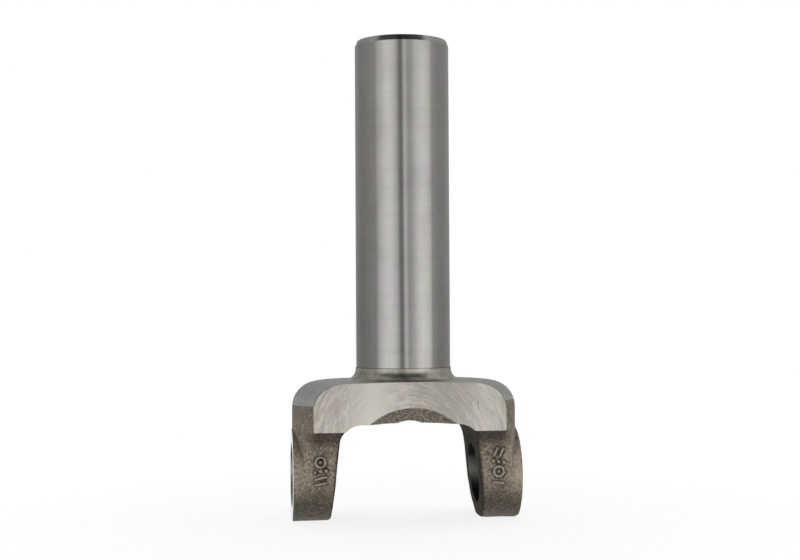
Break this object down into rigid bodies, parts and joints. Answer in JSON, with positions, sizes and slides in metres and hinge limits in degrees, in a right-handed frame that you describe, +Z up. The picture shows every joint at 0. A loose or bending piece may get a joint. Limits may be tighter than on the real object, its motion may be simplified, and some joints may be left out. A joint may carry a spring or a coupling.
{
  "type": "forged slip yoke",
  "caption": "Forged steel slip yoke: a hollow splined barrel, a turned shoulder with milled flats and a two-eared fork bored for a joint cross.",
  "frame": {"origin": "joint centre: where the barrel's axis crosses the axis of the two ear bores", "axes": "+X along the ear bores, +Z up the barrel, -Y to the front flat; the yoke stands on its ear tips, barrel up"},
  "size_m": [0.102, 0.0556, 0.2166],
  "materials": {
    "forged_steel": "shot-blasted forging skin with ground barrel, turned shoulder and milled flats"
  },
  "bodies": {
    "root": {"slip_yoke": "forged_steel"}
  },
  "joints": []
}
